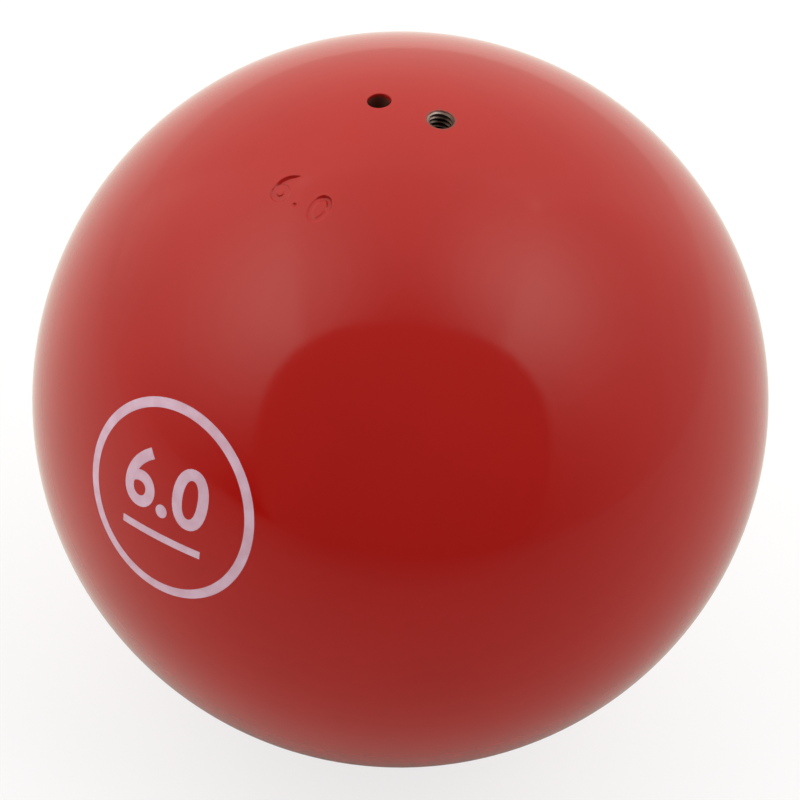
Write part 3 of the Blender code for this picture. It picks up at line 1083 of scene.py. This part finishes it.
def drawn_steel(finish):
    """Bright drawn silver steel: fine grain, nearly even, drawn coarser than real to show."""
    grain = linear("#A9A7A2")
    return mottled(
        "bright_drawn_steel", finish.steel, grain, 0.3 * MM, 0.28, 0.005 * MM, Metallic=1.0
    )


def annealed_copper(finish):
    """Soft copper, annealed and stamped: matt salmon with brown heat spots of a millimetre."""
    spots = linear("#9A5B45")
    return mottled(
        "annealed_stamped_copper", finish.copper, spots, 1.2 * MM, 0.35, 0.02 * MM, Metallic=1.0
    )


def pressed_cork(finish):
    """Cork granules pressed with glue: tan grains of one to two millimetres with dark bark bits."""
    glue, bark = linear("#8F6538"), (finish.cork_dark, 1.6 * MM)
    return mottled("pressed_cork_granules", finish.cork, glue, 0.7 * MM, 0.85, 0.1 * MM, bark)


def pad_ink(finish):
    """Pale pad-printing ink on gloss paint: satin, a little uneven, with the red showing where it
    went on thin, in patches of 2 mm."""
    return mottled(
        "pad_printed_ink", finish.ink, finish.ink_thin, 2.2 * MM, 0.42, 0.004 * MM, IOR=1.5
    )


# Studio


def direction(azimuth, elevation):
    """A unit vector; azimuth 0 is the front, -Y, and 90 is +X."""
    a, e = math.radians(azimuth), math.radians(elevation)
    return (math.sin(a) * math.cos(e), -math.cos(a) * math.cos(e), math.sin(e))


# Each side of the tent: the way to it over its distance, the light at its middle, and what that
# gains towards the back
TENT_SIDES = {
    "ceiling": ((0, 0, 1), 0.18, 1.08),
    "left": ((-1 / 0.685, 0, 0), 0.444, 0.731),
    "right": ((1 / 0.55, 0, 0), 0.406, 0.473),
    "back": ((0, 1 / 0.552, 0), 0.772, 0.0),
}
# Half the width of the soft join between two sides
TENT_JOIN = 0.1
# Each lamp behind the fabric: azimuth, elevation, how narrow its glow is, and its power
LAMPS = ((-70.2, 48.7, 7.56, 1.2), (83.2, 60.0, 11.05, 1.25))
# The front opening: its middle, half its width and height, how square its corners are, and where
# its soft rim starts and ends, as shares of that half width
OPENING_CENTRE = (3.6, 28.2)
OPENING_HALF = (math.radians(44.7), math.radians(39.7))
OPENING_SQUARENESS = 2.35
OPENING_RIM = (0.965, 1.03)
# The floor in reflections, near the object and far off: what it gains towards the back, and its
# brightness. Then what it gains near the object towards the right, the ball radii over which near
# becomes far, and the least that it shows
FLOOR_NEAR = (0.30, 0.72)
FLOOR_FAR = (0.50, 0.50)
FLOOR_TO_RIGHT = -0.12
FLOOR_REACH = 6.5
FLOOR_LEAST = 0.02
# Painted shadow under the ball in reflections: from and to which ball radii, and the share left there
FLOOR_PAINTED_SHADOW = (0.3, 1.1, 0.3)


def tent_world(studio):
    """A square light tent all round: white fabric walls that are brighter to the back, a lamp's
    glow on each side and a dark front opening. Camera rays see plain white in its place."""
    world = bpy.data.worlds.new("light_tent")
    bpy.context.scene.world = world
    add = emptied(world)
    way = add("TexCoord", out="Generated")
    ahead = add("VectorMath", (way, (0, 1, 0)), "Value", operation="DOT_PRODUCT")
    reach = {
        side: add("VectorMath", (way, toward), "Value", operation="DOT_PRODUCT")
        for side, (toward, _, _) in TENT_SIDES.items()
    }
    light = 0.0
    for side, (_, middle, gain) in TENT_SIDES.items():
        a, b, c = (value for name, value in reach.items() if name != side)
        nearest = add("Math", (a, b), operation="MAXIMUM")
        nearest = add("Math", (nearest, c), operation="MAXIMUM")
        over = add("Math", (reach[side], nearest), operation="SUBTRACT")
        on_side = add("MapRange", (over, -TENT_JOIN, TENT_JOIN), interpolation_type="SMOOTHSTEP")
        fabric = add("Math", (ahead, gain, middle), operation="MULTIPLY_ADD")
        light = add("Math", (fabric, on_side, light), operation="MULTIPLY_ADD")
    for azimuth, elevation, narrow, power in LAMPS:
        lamp = direction(azimuth, elevation)
        toward = add("VectorMath", (way, lamp), "Value", operation="DOT_PRODUCT")
        spread = add("Math", (toward, narrow, -narrow), operation="MULTIPLY_ADD")
        glow = add("Math", (spread,), operation="EXPONENT")
        glow = add("Math", (glow, studio.glow), operation="MULTIPLY")
        light = add("Math", (glow, power, light), operation="MULTIPLY_ADD")
    azimuth, elevation = OPENING_CENTRE
    toward, side, rise = (
        add("VectorMath", (way, direction(*angles)), "Value", operation="DOT_PRODUCT")
        for angles in ((azimuth, elevation), (azimuth + 90, 0), (azimuth, elevation + 90))
    )
    turn = add("Math", (toward,), operation="ARCCOSINE")
    square = add("Math", (rise, rise), operation="MULTIPLY")
    square = add("Math", (side, side, square), operation="MULTIPLY_ADD")
    across = add("Math", (square,), operation="SQRT")
    scale = add("Math", (turn, across), operation="DIVIDE")
    parts, powers = [], []
    for value, half in zip((side, rise), OPENING_HALF):
        angle = add("Math", (value, scale), operation="MULTIPLY")
        parts.append(add("Math", (angle, half), operation="DIVIDE"))
        size = add("Math", (parts[-1],), operation="ABSOLUTE")
        powers.append(add("Math", (size, OPENING_SQUARENESS), operation="POWER"))
    rim = add("Math", powers, operation="ADD")
    rim = add("Math", (rim, 1 / OPENING_SQUARENESS), operation="POWER")
    outside = add("MapRange", (rim, *OPENING_RIM), interpolation_type="SMOOTHSTEP")
    # The room seen through the opening is darkest low down
    room = add("Math", (parts[1], studio.opening, studio.opening), operation="MULTIPLY_ADD")
    fabric = {"Factor": outside, NUMBER_A: room, NUMBER_B: light}
    light = add("Mix", fabric, NUMBER_OUT, data_type="FLOAT")
    lit = add("Math", (light, studio.level), operation="MULTIPLY")
    rays = add("LightPath").node.outputs
    mirrored = {"Factor": rays["Is Glossy Ray"], NUMBER_A: lit, NUMBER_B: light}
    light = add("Mix", mirrored, NUMBER_OUT, data_type="FLOAT")
    seen = (rays["Is Camera Ray"], rays["Is Transmission Ray"])
    seen = {"Factor": add("Math", seen, operation="MAXIMUM"), NUMBER_A: light, NUMBER_B: 1.0}
    strength = add("Mix", seen, NUMBER_OUT, data_type="FLOAT")
    white, fabric = (1, 1, 1, 1), rgba(studio.fabric)
    mirrored = {"Factor": rays["Is Glossy Ray"], COLOUR_A: white, COLOUR_B: fabric}
    tint = add("Mix", mirrored, COLOUR_OUT, data_type="RGBA")
    add("OutputWorld", (add("Background", (tint, strength)),))


def floor_sheet(studio):
    """The pale floor of the tent. It shows as white with a soft shadow of the object; in
    reflections it glows, painted brighter to the back and dim in front, before the dark opening,
    and with a painted shadow right under the ball."""
    material = bpy.data.materials.new("pale_floor_card")
    add = emptied(material)
    place = add("TexCoord", out="Object")
    reach = add("VectorMath", (place,), "Value", operation="LENGTH")
    way = add("VectorMath", (place,), operation="NORMALIZE")
    way = add("SeparateXYZ", (way,)).node.outputs
    near = add("Math", (way["Y"], *FLOOR_NEAR), operation="MULTIPLY_ADD")
    near = add("Math", (way["X"], FLOOR_TO_RIGHT, near), operation="MULTIPLY_ADD")
    far = add("Math", (way["Y"], *FLOOR_FAR), operation="MULTIPLY_ADD")
    close = add("Math", (reach, -FLOOR_REACH * BALL_RADIUS), operation="DIVIDE")
    close = add("Math", (close,), operation="EXPONENT")
    lift = {"Factor": close, NUMBER_A: far, NUMBER_B: near}
    lift = add("Mix", lift, NUMBER_OUT, data_type="FLOAT")
    # Painted shadow: the reflected floor dims right under the ball
    start, stop, least = FLOOR_PAINTED_SHADOW
    under = (reach, start * BALL_RADIUS, stop * BALL_RADIUS, least)
    under = add("MapRange", under, interpolation_type="SMOOTHSTEP")
    lift = add("Math", (lift, under), operation="MULTIPLY")
    lift = add("Math", (lift, FLOOR_LEAST), operation="MAXIMUM")
    mirrored = add("Emission", {"Color": rgba(studio.fabric), "Strength": lift})
    card = add("BsdfDiffuse", {"Color": rgba(linear("#F4F4F2"))})
    white = add("Emission", {"Strength": 1.0})
    shown = add("MixShader", (studio.shadow, white, card))
    lit = add("AddShader", (card, add("Emission", {"Strength": studio.floor_glow})))
    rays = add("LightPath").node.outputs
    other = add("MixShader", (rays["Is Glossy Ray"], lit, mirrored))
    surface = add("MixShader", (rays["Is Camera Ray"], other, shown))
    add("OutputMaterial", (surface,))
    half = studio.floor_size / 2
    mesh = bpy.data.meshes.new("floor")
    corners = [(-half, -half, 0), (half, -half, 0), (half, half, 0), (-half, half, 0)]
    mesh.from_pydata(corners, [], [(0, 1, 2, 3)])
    mesh.materials.append(material)
    floor = bpy.data.objects.new("floor", mesh)
    floor.location.z = CASTING_LOW.z
    bpy.context.scene.collection.objects.link(floor)


def aim_camera(studio):
    """The camera, at the photograph's angle and framing."""
    lens = bpy.data.cameras.new("camera")
    lens.lens = studio.lens
    lens.sensor_width = 36.0
    lens.shift_x = studio.shift_x
    lens.shift_y = studio.shift_y
    lens.clip_start = 0.01
    camera = bpy.data.objects.new("camera", lens)
    bpy.context.scene.collection.objects.link(camera)
    tilt = Matrix.Rotation(math.pi / 2 - studio.elevation, 4, "X")
    camera.matrix_world = (
        tilt
        @ Matrix.Translation((0, 0, studio.distance))
        @ Matrix.Rotation(studio.roll, 4, "Z")
    )
    bpy.context.scene.camera = camera


# Operators


class SHOTPUT_OT_enamel(bpy.types.Operator):
    """Builds the paint film with its struck numerals and its two holes"""

    bl_idname = "shot_put.enamel"
    bl_label = "Paint film"

    def execute(self, context):
        film, marks, finish = settings(context, "film", "marks", "finish")
        build_film(film, marks, stoved_enamel(finish))
        return {"FINISHED"}


class SHOTPUT_OT_casting(bpy.types.Operator):
    """Builds the iron casting under the paint"""

    bl_idname = "shot_put.casting"
    bl_label = "Iron casting"

    def execute(self, context):
        film, threads, finish = settings(context, "film", "threads", "finish")
        build_casting(film, threads, cast_iron(finish))
        return {"FINISHED"}


class SHOTPUT_OT_plug(bpy.types.Operator):
    """Builds the screwed plug with its tapped hole"""

    bl_idname = "shot_put.plug"
    bl_label = "Screwed plug"

    def execute(self, context):
        film, threads, finish = settings(context, "film", "threads", "finish")
        build_plug(film, threads, machined_steel(finish))
        return {"FINISHED"}


class SHOTPUT_OT_screw(bpy.types.Operator):
    """Builds the set screw that carries the trim slug"""

    bl_idname = "shot_put.screw"
    bl_label = "Set screw"

    def execute(self, context):
        threads, finish = settings(context, "threads", "finish")
        build_screw(threads, blackened_steel(finish))
        return {"FINISHED"}


class SHOTPUT_OT_inner_parts(bpy.types.Operator):
    """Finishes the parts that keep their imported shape: lead, cork, copper, pin and slug"""

    bl_idname = "shot_put.inner_parts"
    bl_label = "Inner parts"

    def execute(self, context):
        (finish,) = settings(context, "finish")
        lead = cast_lead(finish)
        for name, material in (
            ("lead_core", lead),
            ("trim_slug", lead),
            ("packing_wad", pressed_cork(finish)),
            ("sealing_washer", annealed_copper(finish)),
            ("lock_pin", drawn_steel(finish)),
        ):
            mesh = frame["nodes"][name].data
            mesh.materials.clear()
            mesh.materials.append(material)
        return {"FINISHED"}


class SHOTPUT_OT_print(bpy.types.Operator):
    """Builds the printed ring, numerals and bar"""

    bl_idname = "shot_put.print"
    bl_label = "Printed mark"

    def execute(self, context):
        marks, finish = settings(context, "marks", "finish")
        material = pad_ink(finish)
        build_ring(marks, material)
        points, triangles = figure_outline("6.0", marks.figure)
        points -= [0, marks.figure_drop, 0]
        ink_from(points, triangles, "printed_figures", marks, material)
        half, low = marks.bar_length / 2, -marks.bar_drop
        high = low + marks.bar_height
        corners = np.array([[-half, low, 0], [half, low, 0], [half, high, 0], [-half, high, 0]])
        ink_from(corners, np.array([[0, 1, 2], [0, 2, 3]]), "printed_bar", marks, material)
        return {"FINISHED"}


class SHOTPUT_OT_studio(bpy.types.Operator):
    """Sets up the light tent, the floor and the camera"""

    bl_idname = "shot_put.studio"
    bl_label = "Studio"

    def execute(self, context):
        (studio,) = settings(context, "studio")
        tent_world(studio)
        floor_sheet(studio)
        aim_camera(studio)
        context.scene.view_settings.view_transform = "Standard"
        return {"FINISHED"}


OPERATORS = (
    SHOTPUT_OT_studio,
    SHOTPUT_OT_enamel,
    SHOTPUT_OT_casting,
    SHOTPUT_OT_plug,
    SHOTPUT_OT_screw,
    SHOTPUT_OT_inner_parts,
    SHOTPUT_OT_print,
)


class SHOTPUT_PT_panel(bpy.types.Panel):
    """Lists the steps that dress the shot put"""

    bl_idname = "SHOTPUT_PT_panel"
    bl_label = "Shot put"
    bl_space_type = "VIEW_3D"
    bl_region_type = "UI"
    bl_category = "Shot put"

    def draw(self, context):
        for operator in OPERATORS:
            self.layout.operator(operator.bl_idname)


GROUPS = {
    "film": FilmSizes,
    "marks": MarkSizes,
    "threads": ThreadSizes,
    "finish": Finish,
    "studio": Studio,
}


def register():
    """Registers the classes and hangs the property groups on the scene."""
    for made in (*GROUPS.values(), *OPERATORS, SHOTPUT_PT_panel):
        bpy.utils.register_class(made)
    for name, group in GROUPS.items():
        setattr(bpy.types.Scene, "shot_put_" + name, PointerProperty(type=group))


def unregister():
    """Takes the property groups and the classes away again."""
    for name in GROUPS:
        delattr(bpy.types.Scene, "shot_put_" + name)
    for made in reversed((*GROUPS.values(), *OPERATORS, SHOTPUT_PT_panel)):
        bpy.utils.unregister_class(made)


def main():
    """Builds everything in order."""
    register()
    for operator in OPERATORS:
        group, name = operator.bl_idname.split(".")
        getattr(getattr(bpy.ops, group), name)()


if __name__ == "__main__":
    main()
